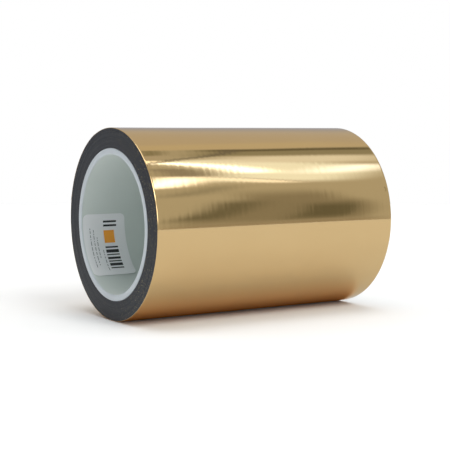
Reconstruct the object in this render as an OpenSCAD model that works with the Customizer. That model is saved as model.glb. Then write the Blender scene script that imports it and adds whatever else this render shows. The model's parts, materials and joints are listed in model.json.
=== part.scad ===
// Roll of self-wound metallised film on a standard 3 inch plastic core.
// The roll lies on its side: its axis runs along Y through the origin, halfway along its width.
// The labelled end is at -Y. Angles round the axis are counted from +X towards +Z.

/* [Core] */
// Bore of the core, which spindles and dispenser hubs take
core_bore_d = 76.2; // [76.2:0.1:76.4]
// Wall thickness of the core
core_wall = 3.4; // [2.5:0.1:5]
// Bevel on the inner edge of each end
inner_bevel = 0.7; // [0.2:0.1:1]
// Bevel on the outer edge of each end
outer_bevel = 0.3; // [0.1:0.1:0.5]

/* [Film] */
// Width of the film, which is also the length of the core
film_w = 152.4; // [100:0.1:305]
// Thickness of one turn of film with its adhesive
film_t = 0.05; // [0.04:0.01:0.1]
// Outer diameter of the wound roll
roll_d = 105.2; // [95:0.1:120]

/* [Free end] */
// Angle at which the free end of the film begins to lift from the roll
tail_root = 112; // [100:1:115]
// Arc that each of the four lengths of the free end covers
tail_arc = 14; // [8:1:14]
// Air gap left under the free end
tail_gap = 0.06; // [0.04:0.01:0.2]
// Slit left open along each line where the free end bends
bend_slit = 0.3; // [0.1:0.1:0.5]

/* [Label] */
// Size of the label along the core
label_w = 26.3; // [15:0.1:40]
// Size of the label round the bore
label_h = 39; // [20:0.5:60]
// Thickness of the label
label_t = 0.1; // [0.06:0.01:0.15]
// Corner radius of the label
label_corner = 2.8; // [1:0.1:5]
// Distance from the end of the core to the label
label_inset = 1; // [0.8:0.1:10]
// Angle of the middle of the label
label_angle = 204.5; // [0:0.5:359]

/* [Hidden] */
$fn = 180;

bore_r = core_bore_d / 2;
core_r = bore_r + core_wall;
roll_r = roll_d / 2;
// Surface that the last turn lies on
pack_r = roll_r - film_t;
slit_angle = bend_slit / roll_r * 180 / PI;
tail_parts = 4;
tail_end = tail_root + tail_parts * tail_arc;
// Angle and chord that the label spans in the bore
label_span = label_h / bore_r * 180 / PI;
label_chord = 2 * bore_r * sin(label_span / 2);

GOLD = [0.83, 0.66, 0.42];
FILM_EDGE = [0.22, 0.23, 0.24];
CORE_WHITE = [0.86, 0.89, 0.90];
LABEL_WHITE = [0.95, 0.95, 0.94];

// Turns a shape built along Z so that its Z runs along -Y, towards the labelled end
module along_roll() {
    rotate([90, 0, 0]) children();
}

// Layer between two radii and two angles, over the whole width of the film
module layer(r_in, r_out, from_angle, to_angle) {
    along_roll()
        rotate([0, 0, from_angle])
            rotate_extrude(angle = to_angle - from_angle)
                translate([r_in, -film_w / 2])
                    square([r_out - r_in, film_w]);
}

// Flat rectangle with round corners, centred on the origin
module rounded_rectangle(w, h, r) {
    square([w - 2 * r, h], center = true);
    square([w, h - 2 * r], center = true);
    for (x = [-1, 1], y = [-1, 1])
        translate([x * (w / 2 - r), y * (h / 2 - r)]) circle(r = r);
}

// Smooth plastic tube with bevelled ends
module core_tube() {
    half = film_w / 2;
    color(CORE_WHITE)
        along_roll()
            rotate_extrude()
                polygon([
                    [bore_r + inner_bevel, -half],
                    [core_r - outer_bevel, -half],
                    [core_r, -half + outer_bevel],
                    [core_r, half - outer_bevel],
                    [core_r - outer_bevel, half],
                    [bore_r + inner_bevel, half],
                    [bore_r, half - inner_bevel],
                    [bore_r, -half + inner_bevel]
                ]);
}

// Paper label stuck to the wall of the bore, just inside the end
module core_label() {
    color(LABEL_WHITE)
        along_roll()
            intersection() {
                difference() {
                    cylinder(r = bore_r, h = film_w, center = true);
                    cylinder(r = bore_r - label_t, h = film_w + 2, center = true);
                }
                rotate([0, 0, label_angle])
                    translate([0, 0, film_w / 2 - label_inset - label_w / 2])
                        rotate([0, 90, 0])
                            linear_extrude(height = bore_r + 1)
                                rounded_rectangle(label_w, label_chord, label_corner);
            }
}

// All the turns of film under the last one, as one solid
module wound_film() {
    color(FILM_EDGE)
        along_roll()
            difference() {
                cylinder(r = pack_r, h = film_w, center = true);
                cylinder(r = core_r, h = film_w + 2, center = true);
            }
}

// Last turn of film, from the edge of the free end round to where the free end begins
module outer_turn() {
    color(GOLD)
        layer(pack_r, roll_r, tail_end + slit_angle, 360 + tail_root - slit_angle / 2);
}

// One length of the free end of the film, which bends along its slits
module film_end(part) {
    start = tail_root + (part - 1) * tail_arc;
    last = part == tail_parts;
    color(GOLD)
        layer(
            pack_r + tail_gap,
            roll_r + tail_gap,
            start + slit_angle / 2,
            start + tail_arc - (last ? 0 : slit_angle / 2)
        );
}

core_tube();
core_label();
wound_film();
outer_turn();
film_end(1);  // film_end_1
film_end(2);  // film_end_2
film_end(3);  // film_end_3
film_end(4);  // film_end_4
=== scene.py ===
"""Looks of a roll of mirror-gold film on a white plastic core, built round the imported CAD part."""

import json
import math

import bpy
import numpy as np
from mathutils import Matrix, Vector


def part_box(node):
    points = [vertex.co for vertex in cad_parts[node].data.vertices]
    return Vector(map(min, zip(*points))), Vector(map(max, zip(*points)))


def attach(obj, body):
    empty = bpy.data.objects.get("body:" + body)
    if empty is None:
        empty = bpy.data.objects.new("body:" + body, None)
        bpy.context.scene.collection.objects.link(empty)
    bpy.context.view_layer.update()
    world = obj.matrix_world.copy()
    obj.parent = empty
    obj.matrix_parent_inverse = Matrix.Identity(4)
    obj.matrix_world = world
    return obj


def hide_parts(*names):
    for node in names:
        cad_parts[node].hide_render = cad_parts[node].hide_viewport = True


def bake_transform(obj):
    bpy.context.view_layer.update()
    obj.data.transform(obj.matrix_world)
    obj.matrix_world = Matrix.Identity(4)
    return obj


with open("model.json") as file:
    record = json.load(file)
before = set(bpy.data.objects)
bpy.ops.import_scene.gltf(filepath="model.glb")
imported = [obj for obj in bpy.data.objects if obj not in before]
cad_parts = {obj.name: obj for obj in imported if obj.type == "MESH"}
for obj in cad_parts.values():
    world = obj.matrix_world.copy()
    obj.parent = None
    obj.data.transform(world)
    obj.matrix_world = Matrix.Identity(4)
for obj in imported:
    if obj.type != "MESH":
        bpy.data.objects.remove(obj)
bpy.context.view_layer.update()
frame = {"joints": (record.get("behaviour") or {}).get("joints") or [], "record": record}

MM = 0.001

# ---------------------------------------------------------------- sizes, from the frame
core_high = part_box("core_tube")[1]
pack_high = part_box("wound_film")[1]
turn_low, turn_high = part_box("outer_turn")
mounts = {m["name"]: m for m in frame["record"]["mounts"]}

HALF_W = core_high.y
CORE_R = core_high.x
BORE_R = mounts["core_bore"]["dims"]["r_mm"] * MM
PACK_R = pack_high.x
ROLL_R = turn_high.x
FILM_T = ROLL_R - PACK_R
FLOOR_Z = turn_low.z

# Angles round the axis are counted from +X towards +Z, in degrees.
bend_angles = [math.degrees(math.atan2(j["pos_m"][2], j["pos_m"][0])) for j in frame["joints"]]
BEND_STEP = bend_angles[1] - bend_angles[0]
# A reach either side of a hinge line; the points worked out from it further down are not used.
BEND_REACH = BEND_STEP * 0.85
TAIL_ROOT = bend_angles[0]
TAIL_END = bend_angles[-1] + BEND_STEP
first_joint = frame["joints"][0]["pos_m"]
TAIL_R = math.hypot(first_joint[0], first_joint[2]) + FILM_T / 2

# ---------------------------------------------------------------- camera
CAMERA_AZIMUTH = math.radians(57.97)   # from -Y towards +X
CAMERA_TILT = math.radians(4.62)       # looking down
SENSOR_WIDTH = 36
LENS = 91.85
# In roll radii, from the middle of the labelled end.
CAMERA_OFFSET = Vector((10.627, -5.2627, 0.9514))


def make_camera():
    """Camera at the photograph's place, angle and lens."""
    data = bpy.data.cameras.new("camera")
    data.sensor_width = SENSOR_WIDTH
    data.lens = LENS
    camera = bpy.data.objects.new("camera", data)
    bpy.context.scene.collection.objects.link(camera)
    forward = Vector((
        -math.sin(CAMERA_AZIMUTH) * math.cos(CAMERA_TILT),
        math.cos(CAMERA_AZIMUTH) * math.cos(CAMERA_TILT),
        -math.sin(CAMERA_TILT),
    ))
    camera.location = CAMERA_OFFSET * ROLL_R + Vector((0, -HALF_W, 0))
    camera.rotation_mode = "QUATERNION"
    camera.rotation_quaternion = forward.to_track_quat("-Z", "Y")
    data.clip_start = 0.01
    data.clip_end = 20
    bpy.context.scene.camera = camera


# ---------------------------------------------------------------- node helpers
class Graph:
    """A node tree with short calls for the nodes used here."""

    def __init__(self, tree):
        self.tree = tree
        tree.nodes.clear()

    def node(self, kind, **settings):
        """Adds a node and sets its properties."""
        made = self.tree.nodes.new(kind)
        for name, value in settings.items():
            setattr(made, name, value)
        return made

    def link(self, source, target):
        self.tree.links.new(source, target)

    def feed(self, socket, value):
        """Links another node's output to a socket, or sets the socket to a plain value."""
        if isinstance(value, bpy.types.NodeSocket):
            self.link(value, socket)
        else:
            socket.default_value = value

    def math(self, operation, a, b=0.0, c=0.0):
        made = self.node("ShaderNodeMath", operation=operation)
        for socket, value in zip(made.inputs, (a, b, c)):
            self.feed(socket, value)
        return made.outputs[0]

    def scaled(self, value, factor):
        return self.math("MULTIPLY", value, factor)

    def ramp(self, value, low, high, to_low=0.0, to_high=1.0):
        """Smooth step from to_low at low to to_high at high."""
        made = self.node("ShaderNodeMapRange", interpolation_type="SMOOTHSTEP")
        for name, entry in (("Value", value), ("From Min", low), ("From Max", high),
                            ("To Min", to_low), ("To Max", to_high)):
            self.feed(made.inputs[name], entry)
        return made.outputs[0]

    def mix(self, share, a, b):
        """Colour a where share is 0, colour b where it is 1."""
        made = self.node("ShaderNodeMix", data_type="RGBA")
        for name, entry in (("Factor_Float", share), ("A_Color", a), ("B_Color", b)):
            self.feed(next(s for s in made.inputs if s.identifier == name), entry)
        return next(s for s in made.outputs if s.identifier == "Result_Color")

    def noise(self, vector, scale, detail):
        made = self.node("ShaderNodeTexNoise")
        self.feed(made.inputs["Vector"], vector)
        made.inputs["Scale"].default_value = scale
        made.inputs["Detail"].default_value = detail
        made.inputs["Roughness"].default_value = 0.5
        return made.outputs[0]

    def coordinates(self, kind):
        """A kind of texture coordinate, and its x, y and z."""
        place = self.node("ShaderNodeTexCoord").outputs[kind]
        split = self.node("ShaderNodeSeparateXYZ")
        self.link(place, split.inputs[0])
        return place, *split.outputs

    def combine(self, x, y, z):
        made = self.node("ShaderNodeCombineXYZ")
        for socket, value in zip(made.inputs, (x, y, z)):
            self.feed(socket, value)
        return made.outputs[0]

    def bump(self, height, strength, distance):
        made = self.node("ShaderNodeBump")
        made.inputs["Strength"].default_value = strength
        made.inputs["Distance"].default_value = distance
        self.feed(made.inputs["Height"], height)
        return made.outputs[0]


def grey(value):
    return (value, value, value, 1)


# ---------------------------------------------------------------- studio
FLOOR_RADIUS = 1.0
FLOOR_WHITE = grey(0.92)
# Painted bounce light: the colour the floor takes on beside the roll, for the gold light the roll
# would throw onto it.
FLOOR_PAINTED_BOUNCE = (0.92, 0.48, 0.12, 1)
# The painted pool of gold bounce light is full up to the first distance from under the roll's axis and
# gone at the second.
PAINTED_BOUNCE_CORE = 4 * MM
PAINTED_BOUNCE_WIDTH = 46 * MM
FLOOR_RINGS = (0.05, 0.1, 0.2, 0.4, 0.7, FLOOR_RADIUS)
FLOOR_SIDES = 96

# The room that the mirror film reflects, as soft panels on the sky. Each panel: what it is, azimuth
# from +X towards +Y, elevation, tilt of its long side, half length, fade at its ends, half width,
# softness of its sides, all in degrees, then its colour. A later panel covers the earlier ones.
PANELS = (
    ("end_shade", -90, 20, 0, 74, 10, 50, 8, (0.36, 0.375, 0.39, 1)),
    ("rear_wall", -147, 18, 0, 24, 9, 26, 9, (0.62, 0.62, 0.60, 1)),
    ("rear_key", 215, 45, 0, 30, 8, 8, 4, grey(3.0)),
    ("front_key", 10, 42, 0, 13, 4, 12, 6, grey(7.9)),
    ("front_low", 10, 15, 0, 13, 3, 9, 5, grey(4)),
    ("ceiling", 0, 90, 0, 400, 1, 17, 5, grey(3.5)),
    ("olive", 98, 54, -6, 11, 6, 5.2, 1.5, (0.46, 0.47, 0.40, 1)),
    ("back_wall", 163, 30, 0, 56, 1.6, 36, 3, (0.80, 0.77, 0.72, 1)),
    ("back_wall_low", 150, 8, 0, 60, 8, 16, 10, (0.56, 0.56, 0.60, 1)),
    ("wall_warm", 114, 55, 0, 7, 4, 8, 4, (0.86, 0.82, 0.70, 1)),
    ("stand", 36, 14, 73, 16, 6, 2.4, 1.2, (0.42, 0.41, 0.36, 1)),
    ("stand_side", 37.4, 9, 82, 11, 5, 2.6, 0.8, (0.42, 0.41, 0.36, 1)),
    ("stand_post", 37.6, 8.5, 80, 7, 4, 1.3, 0.35, (0.22, 0.22, 0.17, 1)),
    ("stand_leg", 32.9, 12.8, 73, 9.5, 4, 1.3, 1.0, (0.24, 0.24, 0.19, 1)),
    ("shade_left", 38, 33.5, 45, 6, 3, 0.9, 1.5, (0.46, 0.47, 0.44, 1)),
    ("box_glow", 62.4, 49.7, 32, 18, 3, 4.0, 2.4, (1.58, 1.84, 2.16, 1)),
    ("box_right", 80, 53.5, 4, 7, 4, 4.2, 3.0, (1.3, 1.42, 1.6, 1)),
    ("box_low_hot", 63, 46, 14, 6, 4, 1.4, 2.2, (2.7, 3.2, 4.4, 1)),
    ("box_hot", 64, 54, 36, 10, 3, 0.7, 1.4, (5.5, 6, 7.5, 1)),
    ("box_gap", 52.5, 50.8, 36, 8.5, 2.5, 1.5, 1.0, grey(0.46)),
    ("low_box", 43, 44, 37, 7, 2, 1.8, 1.4, (2.2, 2.3, 2.6, 1)),
    ("low_box_hot", 41.6, 43.1, 39, 6, 3, 1.1, 1.4, (4, 4.4, 5.5, 1)),
    ("low_strip", 47.4, 41.8, 84, 4, 2, 0.9, 1.0, (2.2, 2.3, 2.6, 1)),
    ("gap_line", 48.8, 41.5, 74, 5, 2, 0.15, 0.5, grey(0.55)),
    ("above_box", 56, 59.5, 33, 14, 2, 1.6, 1.0, grey(0.5)),
    ("seam", 102.6, 53.5, 0, 2.4, 2.6, 4.5, 1.5, (0.22, 0.21, 0.16, 1)),
    ("edge_line", 70, 60, 0, 9, 1, 0.4, 0.5, grey(0.28)),
    ("edge_line_far", 92, 58.3, -8, 13, 3, 0.4, 0.6, grey(0.26)),
    ("top_grey", 92, 65, 0, 18, 3, 3.8, 1.0, grey(0.72)),
    ("top_hot", 71, 64.4, 0, 5, 2, 3.9, 0.8, grey(3.0)),
    ("stand_foot", 34.5, -1.5, 0, 5, 1.5, 1.8, 1.5, (0.52, 0.50, 0.46, 1)),
    ("seam_left", 99, 61.4, -5, 8, 3, 0.7, 0.7, (0.40, 0.40, 0.32, 1)),
)
ROOM = (0.73, 0.74, 0.70, 1)
BACKDROP = (1, 1, 1, 1)


def make_world():
    """The room of PANELS for light and reflections; plain white where the camera looks past."""
    world = bpy.data.worlds.new("studio")
    bpy.context.scene.world = world
    world.use_nodes = True
    g = Graph(world.node_tree)
    _, x, y, z = g.coordinates("Generated")
    elevation = g.math("DEGREES", g.math("ARCSINE", z))
    azimuth = g.math("DEGREES", g.math("ARCTAN2", y, x))
    colour = ROOM
    for _, mid, height, tilt, half, fade, half_width, soft, light in PANELS:
        # the shortest turn between this direction and the panel's middle
        turn = g.math("WRAP", g.math("SUBTRACT", azimuth, mid), 180, -180)
        rise = g.math("SUBTRACT", elevation, height)
        level, upright = math.cos(math.radians(tilt)), math.sin(math.radians(tilt))
        along = g.math("ADD", g.scaled(turn, level), g.scaled(rise, upright))
        across = g.math("SUBTRACT", g.scaled(rise, level), g.scaled(turn, upright))
        ends = g.ramp(g.math("ABSOLUTE", along), half + fade, half - fade)
        sides = g.ramp(g.math("ABSOLUTE", across), half_width + soft, half_width - soft)
        colour = g.mix(g.math("MULTIPLY", ends, sides), colour, light)
    seen = g.node("ShaderNodeLightPath").outputs["Is Camera Ray"]
    background = g.node("ShaderNodeBackground")
    g.link(g.mix(seen, colour, BACKDROP), background.inputs["Color"])
    out = g.node("ShaderNodeOutputWorld")
    g.link(background.outputs[0], out.inputs["Surface"])


def floor_white_painted_bounce():
    """Plain white floor to the camera. For all other rays it carries painted gold bounce light beside
    the roll, so the roll reflects it tinted by the gold light that falls beside the roll.
    """
    material, g, shader = new_material("floor_white_painted_bounce")
    _, x, y, _ = g.coordinates("Object")
    # Painted bounce light: a gold pool on the floor beside and under the roll, seen by every ray but
    # the camera's.
    beside = g.ramp(g.math("ABSOLUTE", x), PAINTED_BOUNCE_WIDTH, PAINTED_BOUNCE_CORE)
    under = g.ramp(g.math("ABSOLUTE", y), HALF_W + PAINTED_BOUNCE_CORE, HALF_W - PAINTED_BOUNCE_CORE)
    painted_bounce = g.mix(g.math("MULTIPLY", beside, under), FLOOR_WHITE, FLOOR_PAINTED_BOUNCE)
    seen = g.node("ShaderNodeLightPath").outputs["Is Camera Ray"]
    g.link(g.mix(seen, painted_bounce, FLOOR_WHITE), shader.inputs["Base Color"])
    shader.inputs["Roughness"].default_value = 0.9
    shader.inputs["Specular IOR Level"].default_value = 0.0
    return material


def make_floor():
    """A round floor: rings of quads round a fan of triangles."""
    angles = np.linspace(0, 2 * math.pi, FLOOR_SIDES, endpoint=False)
    points = [(r * math.cos(a), r * math.sin(a), FLOOR_Z) for r in FLOOR_RINGS for a in angles]
    points.append((0, 0, FLOOR_Z))
    middle = len(points) - 1
    faces = [(middle, i, (i + 1) % FLOOR_SIDES) for i in range(FLOOR_SIDES)]
    for ring in range(len(FLOOR_RINGS) - 1):
        a, b = ring * FLOOR_SIDES, (ring + 1) * FLOOR_SIDES
        for i in range(FLOOR_SIDES):
            after = (i + 1) % FLOOR_SIDES
            faces.append((a + i, b + i, b + after, a + after))
    floor = new_object("floor", points, faces)
    floor.data.materials.append(floor_white_painted_bounce())


# ---------------------------------------------------------------- meshes
def new_object(name, points, faces):
    """A smooth-shaded mesh object in the scene."""
    mesh = bpy.data.meshes.new(name)
    mesh.from_pydata([tuple(p) for p in points], [], faces)
    mesh.validate()
    mesh.polygons.foreach_set("use_smooth", [True] * len(mesh.polygons))
    obj = bpy.data.objects.new(name, mesh)
    bpy.context.scene.collection.objects.link(obj)
    return obj


def on_roll(radius, angle, y):
    """Points at a radius and an angle in degrees round the axis; arrays or numbers."""
    a = np.radians(angle)
    return np.stack(np.broadcast_arrays(radius * np.cos(a), y, radius * np.sin(a)), axis=-1)


def grid_faces(rows, columns, start=0, closed_columns=False, closed_rows=False):
    """Quads of a grid whose points are stored row by row."""
    faces = []
    for r in range(rows if closed_rows else rows - 1):
        a = start + r * columns
        b = start + ((r + 1) % rows) * columns
        for c in range(columns if closed_columns else columns - 1):
            d = (c + 1) % columns
            faces.append((a + c, b + c, b + d, a + d))
    return faces


def shell_faces(rows, columns, start=0):
    """Faces of a closed thin sheet: a grid of points, a second grid stored after it, and its sides."""
    other = start + rows * columns
    faces = [f[::-1] for f in grid_faces(rows, columns, start)]
    faces += grid_faces(rows, columns, other)
    last = (rows - 1) * columns
    for c in range(columns - 1):
        a, b = start + c, other + c
        faces.append((a, a + 1, b + 1, b))
        faces.append((a + last, b + last, b + last + 1, a + last + 1))
    side = columns - 1
    for r in range(rows - 1):
        a, b = start + r * columns, other + r * columns
        faces.append((a, b, b + columns, a + columns))
        faces.append((a + side, a + columns + side, b + columns + side, b + side))
    return faces


def spin(name, profile, steps):
    """A closed solid of revolution round Y from a closed outline of (radius, y)."""
    angles = np.arange(steps) * 360.0 / steps
    radii, ys = np.array(profile).T
    points = on_roll(radii[:, None], angles[None, :], ys[:, None]).reshape(-1, 3)
    faces = grid_faces(len(profile), steps, closed_columns=True, closed_rows=True)
    return new_object(name, points, faces)


# ---------------------------------------------------------------- materials
def new_material(name):
    """A material with one Principled shader: the material, its graph and the shader node."""
    material = bpy.data.materials.new(name)
    material.use_nodes = True
    g = Graph(material.node_tree)
    shader = g.node("ShaderNodeBsdfPrincipled")
    out = g.node("ShaderNodeOutputMaterial")
    g.link(shader.outputs[0], out.inputs["Surface"])
    return material, g, shader


def round_axis(g):
    """Arc round the roll's axis at its surface, place along the axis, and distance from it."""
    _, x, y, z = g.coordinates("Object")
    arc = g.scaled(g.math("ARCTAN2", z, x), ROLL_R)
    radius = g.math("SQRT", g.math("ADD", g.math("MULTIPLY", x, x), g.math("MULTIPLY", z, z)))
    return arc, y, radius


def streaks(g, first, second, layer, detail):
    """Noise stretched by scaling each of two coordinates: pairs of value and scale."""
    scaled = [g.scaled(value, scale) for value, scale in (first, second)]
    return g.noise(g.combine(*scaled, layer), 1, detail)


def gold_film():
    """Mirror-bright metallised polyester: a tinted metal layer under clear film."""
    material, g, shader = new_material("gold_film")
    place = g.coordinates("Object")[0]
    arc, along, _ = round_axis(g)
    cloud = g.noise(place, 30, 4)
    shader.inputs["Metallic"].default_value = 1.0
    tint = g.mix(cloud, (0.55, 0.385, 0.185, 1), (0.58, 0.415, 0.205, 1))
    g.link(tint, shader.inputs["Base Color"])
    # faint lines run round the roll, the way the film was drawn
    drawn = streaks(g, (arc, 12), (along, 900), 0, 2)
    haze = g.math("ADD", g.scaled(drawn, 0.5), g.scaled(cloud, 0.5))
    g.link(g.ramp(haze, 0.3, 0.7, 0.035, 0.075), shader.inputs["Roughness"])
    g.link(g.bump(drawn, 0.05, 0.00002), shader.inputs["Normal"])
    shader.inputs["Specular Tint"].default_value = (0.80, 0.78, 0.75, 1)
    shader.inputs["Coat Weight"].default_value = 0.15
    shader.inputs["Coat Roughness"].default_value = 0.03
    shader.inputs["Coat IOR"].default_value = 1.5
    return material


def film_back():
    """Adhesive side of the film: the same metal, paler and duller under the adhesive."""
    material, g, shader = new_material("film_back")
    place = g.coordinates("Object")[0]
    shader.inputs["Metallic"].default_value = 1.0
    cloud = g.noise(place, 60, 5)
    g.link(g.mix(cloud, (0.42, 0.33, 0.2, 1), (0.5, 0.4, 0.26, 1)), shader.inputs["Base Color"])
    g.link(g.ramp(cloud, 0.3, 0.7, 0.2, 0.34), shader.inputs["Roughness"])
    g.link(g.bump(g.noise(place, 700, 3), 0.08, 0.00005), shader.inputs["Normal"])
    return material


def film_edge():
    """Slit edges of the wound turns: dark, with fine rings and a few painted gold glints."""
    material, g, shader = new_material("film_edge")
    place, x, _, _ = g.coordinates("Object")
    arc, _, radius = round_axis(g)
    rings = streaks(g, (radius, 2600), (arc, 5), 0, 3)
    broad = streaks(g, (radius, 450), (arc, 2), 3, 2)
    # painted glints: gold specks of light where the metal edges catch it
    painted_glints = g.ramp(g.noise(place, 1600, 3), 0.60, 0.69)
    # painted gold glints, most of them on the +X side, as in the photograph
    glint_side = g.ramp(x, -ROLL_R * 0.2, ROLL_R * 0.7, 0.12, 0.9)
    painted_glints = g.math("MULTIPLY", painted_glints, glint_side)
    dark = g.mix(rings, (0.005, 0.008, 0.014, 1), (0.016, 0.020, 0.029, 1))
    dark = g.mix(g.ramp(broad, 0.35, 0.65), dark, (0.011, 0.014, 0.021, 1))
    g.link(g.mix(painted_glints, dark, (0.30, 0.245, 0.125, 1)), shader.inputs["Base Color"])
    g.link(g.ramp(rings, 0.3, 0.7, 0.34, 0.5), shader.inputs["Roughness"])
    g.link(g.bump(rings, 0.5, 0.00006), shader.inputs["Normal"])
    shader.inputs["Specular IOR Level"].default_value = 0.22
    return material


def core_plastic():
    """Smooth extruded plastic with painted light in its colour: greenish and lighter on the wall of
    the bore, bluish on its cut ends, standing in for the light that falls in the bore and on the ends.
    """
    material, g, shader = new_material("core_plastic")
    place = g.coordinates("Object")[0]
    arc, along, _ = round_axis(g)
    cloud = g.noise(place, 25, 3)
    # Painted light: the bore wall and the cut ends are two tinted copies of one white plastic, each
    # for the light that falls there.
    wall = g.mix(cloud, (0.61, 0.67, 0.645, 1), (0.65, 0.71, 0.685, 1))
    cut = g.mix(cloud, (0.53, 0.58, 0.62, 1), (0.57, 0.62, 0.66, 1))
    at_end = g.ramp(g.math("ABSOLUTE", along), HALF_W - 0.9 * MM, HALF_W - 0.3 * MM)
    g.link(g.mix(at_end, wall, cut), shader.inputs["Base Color"])
    lines = streaks(g, (arc, 1500), (along, 20), 0, 2)
    g.link(g.ramp(lines, 0.3, 0.7, 0.36, 0.44), shader.inputs["Roughness"])
    g.link(g.bump(lines, 0.08, 0.00003), shader.inputs["Normal"])
    return material


def paper(name, low, high, roughness):
    """Coated paper, or ink on it, between two colours."""
    material, g, shader = new_material(name)
    fibre = g.noise(g.coordinates("Object")[0], 1800, 4)
    g.link(g.mix(fibre, low, high), shader.inputs["Base Color"])
    g.link(g.ramp(fibre, 0.3, 0.7, roughness - 0.05, roughness + 0.05), shader.inputs["Roughness"])
    g.link(g.bump(fibre, 0.15, 0.00002), shader.inputs["Normal"])
    return material


# ---------------------------------------------------------------- film surface
WAVE_COUNT = 14
WAVE_SIZE = 0.016       # mm
RIDGE_COUNT = 22
RIDGE_SLOPE = 0.0015
# From this many mm from the labelled end, over the next few, the ridges fade to a share.
RIDGE_FADE = (110, 20, 0.75)
# The dent: mm from the labelled end, angle, and its size along and round the roll, and its depth.
DENT_S = 149.5
DENT_ANGLE = 19.5
DENT_SIZE = 0.8
DENT_ARC = 1.4
DENT_DEPTH = 0.12
TAIL_CALM = 12          # degrees either side of the free end's two edges


def angle_between(angle, other):
    return np.abs((angle - other + 180) % 360 - 180)


def film_height(angle, y):
    """How far the outer surface stands off a true cylinder, in metres. Arrays in, array out."""
    s = (y + HALF_W) / MM
    total = np.zeros(np.broadcast(angle, s).shape)
    waves = np.random.RandomState(21)
    for _ in range(WAVE_COUNT):
        around = waves.randint(1, 9)
        along = waves.uniform(0.01, 0.09)
        size = WAVE_SIZE / (1 + 0.25 * around)
        phase = waves.uniform(0, 2 * math.pi)
        total = total + size * np.sin(np.radians(angle) * around + s * along + phase)
    # fine ridges that run round the roll in patches, where the film was pulled tight;
    # they are faint towards the far end
    fade_from, fade_long, fade_share = RIDGE_FADE
    calm_far = 1 - fade_share * np.clip((s - fade_from) / fade_long, 0, 1)
    for _ in range(RIDGE_COUNT):
        length = waves.uniform(1.8, 6.0)
        phase, turn, spot = waves.uniform(0, 2 * math.pi, 3)
        patch = waves.uniform(0.04, 0.12)
        size = RIDGE_SLOPE * length / (2 * math.pi)
        here = (1 + np.cos(2 * np.radians(angle) - turn)) * (1 + np.cos(s * patch - spot)) / 4
        total = total + size * here * calm_far * np.sin(s * 2 * math.pi / length + phase)
    # a dent by the far edge
    dent = ((s - DENT_S) / DENT_SIZE) ** 2 + ((angle - 360 - DENT_ANGLE) / DENT_ARC) ** 2
    total = total - DENT_DEPTH * np.exp(-dent)
    # calm where the free end lies, so that it meets the rest smoothly
    from_tail = np.minimum(angle_between(angle, TAIL_ROOT), angle_between(angle, TAIL_END))
    total = total * np.clip(from_tail / TAIL_CALM, 0, 1)
    return total * MM


# The film's edges roll over inwards by the first distance, over the second.
RIM_IN = 0.12 * MM
RIM_LONG = 0.5 * MM
RIM_STEPS = 6


def rim_drop(y):
    """The film's edges roll over a little at both ends."""
    from_end = np.clip((HALF_W - np.abs(y)) / RIM_LONG, 0, 1)
    return RIM_IN * (1 - np.sqrt(np.clip(1 - (1 - from_end) ** 2, 0, 1)))


def axial_places(fine):
    """Places along the roll: close together on the rolled edges, even between them."""
    edge = HALF_W - RIM_LONG * (1 - np.cos(np.linspace(0, math.pi / 2, RIM_STEPS)))
    middle = np.linspace(-HALF_W + RIM_LONG, HALF_W - RIM_LONG, fine)
    return np.concatenate([-edge[:-1], middle, edge[::-1][1:]])


# The skin reaches this far into the turns below, which start just above its inner side.
SKIN_DEPTH = 0.2 * MM
SKIN_LAP = 0.02 * MM
# Part of the skin with more points: where the photograph shows reflections of the lights.
DENSE_FROM, DENSE_TO = 374, 430
MEET_ARC = 10           # degrees over which the skin rises or falls to meet the free end


def outer_skin():
    """The last turn of film, closed, from the edge of the free end round to where it begins."""
    start, end = TAIL_END, TAIL_ROOT + 360
    angles = np.concatenate([
        np.linspace(start, DENSE_FROM, 260, endpoint=False),
        np.linspace(DENSE_FROM, DENSE_TO, 190, endpoint=False),
        np.linspace(DENSE_TO, end, 60),
    ])
    ys = axial_places(240)
    a, y = np.meshgrid(angles, ys)
    lift = np.clip((a - (end - MEET_ARC)) / MEET_ARC, 0, 1)
    rise = (TAIL_R - ROLL_R) * lift * lift * (3 - 2 * lift)
    outer = on_roll(ROLL_R + film_height(a, y) + rise - rim_drop(y), a, y).reshape(-1, 3)
    rows, columns = a.shape
    inner_a, inner_y = np.meshgrid(angles, [-HALF_W, HALF_W])
    inner = on_roll(PACK_R - SKIN_DEPTH, inner_a, inner_y).reshape(-1, 3)
    faces = [f[::-1] for f in grid_faces(rows, columns)]
    first = rows * columns
    faces += grid_faces(2, columns, first)
    last_row = (rows - 1) * columns
    for c in range(columns - 1):
        faces.append((c, c + 1, first + c + 1, first + c))
        faces.append((last_row + c, first + columns + c, first + columns + c + 1, last_row + c + 1))
    for c, turn in ((0, 1), (columns - 1, -1)):
        loop = [r * columns + c for r in range(rows)] + [first + columns + c, first + c]
        faces.append(tuple(loop[::turn]))
    skin = new_object("outer_turn_skin", np.concatenate([outer, inner]), faces)
    sharpen(skin, 50)
    return skin


RING_COUNT = 84
PACK_SIDES = 240
CORE_GAP = 0.05 * MM    # between the core and the innermost ring
END_GAP = 0.02 * MM     # between the end of the roll and the rings that reach it
RING_DEPTH = 0.07       # mm by which single rings stand back from the end
DRIFT_DEPTH = 0.06      # mm by which neighbouring rings stand back together
DRIFT_RINGS = 9
FIRST_DEPTH = 0.25 * MM


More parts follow.
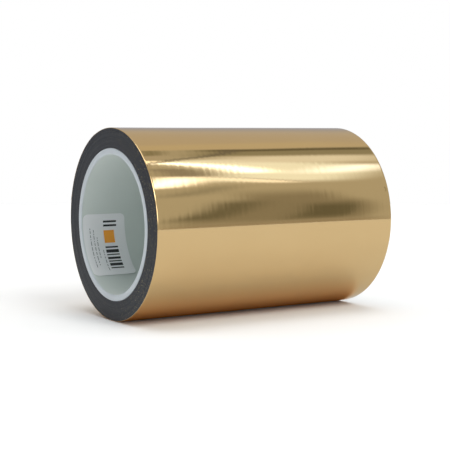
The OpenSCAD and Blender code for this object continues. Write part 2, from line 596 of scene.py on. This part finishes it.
def wound_pack():
    """The turns under the last one. Its ends show the edges of the film as fine rings."""
    spread = np.random.RandomState(5)
    radii = np.linspace(CORE_R + CORE_GAP, PACK_R - SKIN_DEPTH + SKIN_LAP, RING_COUNT)
    outline = []
    for side in (-1, 1):
        depths = spread.uniform(0.0, RING_DEPTH, RING_COUNT) * MM
        drift = spread.uniform(-1, 1, RING_COUNT + DRIFT_RINGS - 1)
        slow = np.convolve(drift, np.ones(DRIFT_RINGS) / DRIFT_RINGS, "valid")
        depths = depths + (slow - slow.min()) * DRIFT_DEPTH * MM
        depths[0] = FIRST_DEPTH
        places = side * (HALF_W - END_GAP - depths)
        shoulder = (PACK_R - SKIN_LAP, side * (HALF_W - RIM_LONG - SKIN_DEPTH))
        ring = list(zip(radii, places)) + [shoulder]
        outline += ring if side < 0 else ring[::-1]
    pack = spin("film_pack", outline, PACK_SIDES)
    # the bands of faces next to the outer surface are film, the others are its edges
    for polygon in pack.data.polygons:
        band = polygon.index // PACK_SIDES
        polygon.material_index = int(abs(band - RING_COUNT) <= 1)
    return pack


# The free edge stands up a little over its last few degrees, more towards the far end.
CURL_ARC = 6
CURL_LOW, CURL_MORE = 0.22 * MM, 0.40 * MM
SHEET_STEPS = 57        # points round each length of the free end
SHEET_RIM = 0.2         # share of the rolled edge that the free end keeps
SHEET_T = FILM_T * 0.9


def film_end_sheet(index):
    """One length of the free end: a thin closed sheet from one hinge line to the next."""
    start = bend_angles[index]
    end = start + BEND_STEP
    angles = np.linspace(start, end, SHEET_STEPS)
    a, y = np.meshgrid(angles, axial_places(80))
    outer_r = TAIL_R - rim_drop(y) * SHEET_RIM
    if index == len(bend_angles) - 1:
        near_edge = np.clip((a - end + CURL_ARC) / CURL_ARC, 0, 1)
        outer_r = outer_r + (CURL_LOW + CURL_MORE * (y + HALF_W) / (2 * HALF_W)) * near_edge ** 2
    outer = on_roll(outer_r, a, y).reshape(-1, 3)
    inner = on_roll(outer_r - SHEET_T, a, y).reshape(-1, 3)
    rows, columns = a.shape
    faces = shell_faces(rows, columns)
    sheet = new_object(f"film_end_sheet_{index + 1}", np.concatenate([outer, inner]), faces)
    # the second grid's faces are the underside
    quads = (rows - 1) * (columns - 1)
    for face in range(quads, 2 * quads):
        sheet.data.polygons[face].material_index = 1
    sharpen(sheet, 50)
    return sheet


def sharpen(obj, degrees):
    """Marks edges sharper than an angle, so that smooth shading stops there."""
    mesh = obj.data
    mesh.update()
    faces_of = {}
    for polygon in mesh.polygons:
        for key in polygon.edge_keys:
            faces_of.setdefault(key, []).append(polygon.index)
    normals = np.zeros(len(mesh.polygons) * 3)
    mesh.polygons.foreach_get("normal", normals)
    normals = normals.reshape(-1, 3)
    limit = math.cos(math.radians(degrees))
    for edge in mesh.edges:
        pair = faces_of.get(edge.key, [])
        if len(pair) == 2:
            edge.use_edge_sharp = bool(normals[pair[0]] @ normals[pair[1]] < limit)


# ---------------------------------------------------------------- core and label
EDGE_IN, EDGE_OUT = 0.7 * MM, 0.3 * MM


def round_corner(r, y, dr, dy):
    """Outline points of one rounded corner, from its flat end to its wall."""
    turns = np.linspace(0, math.pi / 2, 6)
    return [(r + dr * (1 - math.sin(t)), y - dy * (1 - math.cos(t))) for t in turns]


def core_piece():
    """Tube with softly rounded edges at its ends."""
    outline = round_corner(BORE_R, HALF_W, EDGE_IN, EDGE_IN)[::-1]
    outline += round_corner(CORE_R, HALF_W, -EDGE_OUT, EDGE_OUT)
    outline += round_corner(CORE_R, -HALF_W, -EDGE_OUT, -EDGE_OUT)[::-1]
    outline += round_corner(BORE_R, -HALF_W, EDGE_IN, -EDGE_IN)
    return spin("core_tube_smooth", outline, 256)


# The label, in mm from the end of the core and in degrees round the axis. The rest is in mm too.
LABEL_IN = 1.0
LABEL_OUT = 27.3
LABEL_ANGLES = (175.3, 233.7)
LABEL_CORNER = 2.9
PAPER_T = 0.09
PAPER_GAP = 0.005       # between the paper and the wall
INK_T = 0.012
INK_SINK = 0.004        # by which an ink patch reaches into the paper
PATCH_STEP = 0.6
# It has come away from the wall beyond this place and beyond this angle, by these most.
LIFT_FROM, LIFT_FAR = 21, 0.22
LIFT_ANGLE, LIFT_LOW = 222, 0.30
LIFT_CORNER = 0.35

# Printed marks: from and to along the core in mm, from and to angle in degrees, ink.
BARS = [(13.6, 22.0, low, low + 1.7, "ink_dark") for low in (181.2, 184.6)]
BARS += [(13.6, 20.2, 189.6, 200.8, "ink_orange")]
BARS += [(13.4, 21.4, low, low + wide, "ink_dark") for low, wide in (
    (204.0, 1.5), (206.9, 3.0), (211.2, 1.1), (214.0, 2.2), (217.6, 1.2), (220.2, 2.8), (224.6, 1.3))]
# Small print: from and to along the core in mm, from and to angle in degrees.
DASH_LINES = (
    (4.9, 5.3, 187.5, 222.5),
    (7.0, 7.4, 189.0, 221.5),
    (8.9, 9.3, 195.5, 213.5),
    (11.6, 12.0, 207.0, 227.0),
)
# Shortest and longest dash, and gap between dashes, in degrees.
DASH_LONG = (1.0, 4.2)
DASH_GAP = (0.7, 1.3)
INKS = ["label_paper", "ink_dark", "ink_orange", "ink_grey"]


def label_lift(s, angle):
    """How far the label has come away from the wall, in mm: most at its far edge and low corner."""
    far = np.clip((s - LIFT_FROM) / (LABEL_OUT - LIFT_FROM), 0, 1) ** 2
    low = np.clip((angle - LIFT_ANGLE) / (LABEL_ANGLES[1] - LIFT_ANGLE), 0, 1) ** 2
    return LIFT_FAR * far + LIFT_LOW * low + LIFT_CORNER * far * low


def bore_patch(points, faces, along, angles, outer_r, inner_r, corner=0.0):
    """Adds a thin closed patch that lies on the wall of the bore, with round corners if wanted."""
    wall = BORE_R / MM
    ease = corner * (1 - np.cos(np.linspace(0, math.pi / 2, 8)))
    low, high = np.radians(angles[0]) * wall, np.radians(angles[1]) * wall
    count = max(2, int((high - low) / PATCH_STEP))
    inside = np.linspace(low + corner, high - corner, count)
    arcs = np.concatenate([low + ease[:-1], inside, high - ease[:-1][::-1]]) if corner else inside
    rise = np.clip((corner - np.minimum(arcs - low, high - arcs)) / max(corner, 1e-6), 0, 1)
    trim = corner * (1 - np.sqrt(1 - rise ** 2))
    share = np.linspace(0, 1, 9)
    s = along[0] + trim[:, None] + (along[1] - along[0] - 2 * trim[:, None]) * share[None, :]
    turn = np.degrees(arcs / wall)[:, None] + 0 * s
    faces += shell_faces(*s.shape, start=len(points))
    for radius in (inner_r, outer_r):
        sheet = on_roll((radius - label_lift(s, turn)) * MM, turn, s * MM - HALF_W)
        points.extend(sheet.reshape(-1, 3))


def label_piece():
    """Paper label on the wall of the bore, with a plain printed pattern."""
    wall = BORE_R / MM
    face = wall - PAPER_T
    points, faces = [], []
    back = wall - PAPER_GAP
    bore_patch(points, faces, (LABEL_IN, LABEL_OUT), LABEL_ANGLES, back, face, LABEL_CORNER)
    inks = [0] * len(faces)
    marks = list(BARS)
    spread = np.random.RandomState(11)
    for low, high, angle, finish in DASH_LINES:
        while angle < finish:
            wide = spread.uniform(*DASH_LONG)
            marks.append((low, high, angle, angle + wide, "ink_grey"))
            angle += wide + spread.uniform(*DASH_GAP)
    for low, high, begin, finish, ink in marks:
        before = len(faces)
        bore_patch(points, faces, (low, high), (begin, finish), face + INK_SINK, face - INK_T)
        inks += [INKS.index(ink)] * (len(faces) - before)
    label = new_object("core_label_printed", points, faces)
    for polygon, ink in zip(label.data.polygons, inks):
        polygon.material_index = ink
    sharpen(label, 40)
    return label


# ---------------------------------------------------------------- build
make_camera()
make_world()
make_floor()

gold = gold_film()
edge = film_edge()
back = film_back()
plastic = core_plastic()
white_paper = paper("label_paper", (0.83, 0.85, 0.88, 1), (0.89, 0.90, 0.92, 1), 0.55)
ink_dark = paper("ink_dark", (0.012, 0.013, 0.016, 1), (0.03, 0.03, 0.034, 1), 0.4)
ink_orange = paper("ink_orange", (0.96, 0.36, 0.03, 1), (0.98, 0.42, 0.05, 1), 0.4)
ink_grey = paper("ink_grey", (0.16, 0.17, 0.19, 1), (0.26, 0.27, 0.29, 1), 0.45)

skin = outer_skin()
skin.data.materials.append(gold)
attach(skin, "roll")
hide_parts("outer_turn")

pack = wound_pack()
pack.data.materials.append(edge)
pack.data.materials.append(gold)
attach(pack, "roll")
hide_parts("wound_film")

core = core_piece()
core.data.materials.append(plastic)
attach(core, "roll")
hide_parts("core_tube")

label = label_piece()
for sheet_paper in (white_paper, ink_dark, ink_orange, ink_grey):
    label.data.materials.append(sheet_paper)
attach(label, "roll")
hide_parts("core_label")

for index in range(len(bend_angles)):
    sheet = film_end_sheet(index)
    sheet.data.materials.append(gold)
    sheet.data.materials.append(back)
    begin = bend_angles[index]
    on_roll(TAIL_R, begin - BEND_REACH, 0)
    on_roll(TAIL_R, begin + BEND_REACH, 0)
    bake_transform(sheet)
    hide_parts(f"film_end_{index + 1}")

bpy.context.scene.view_settings.view_transform = "Standard"
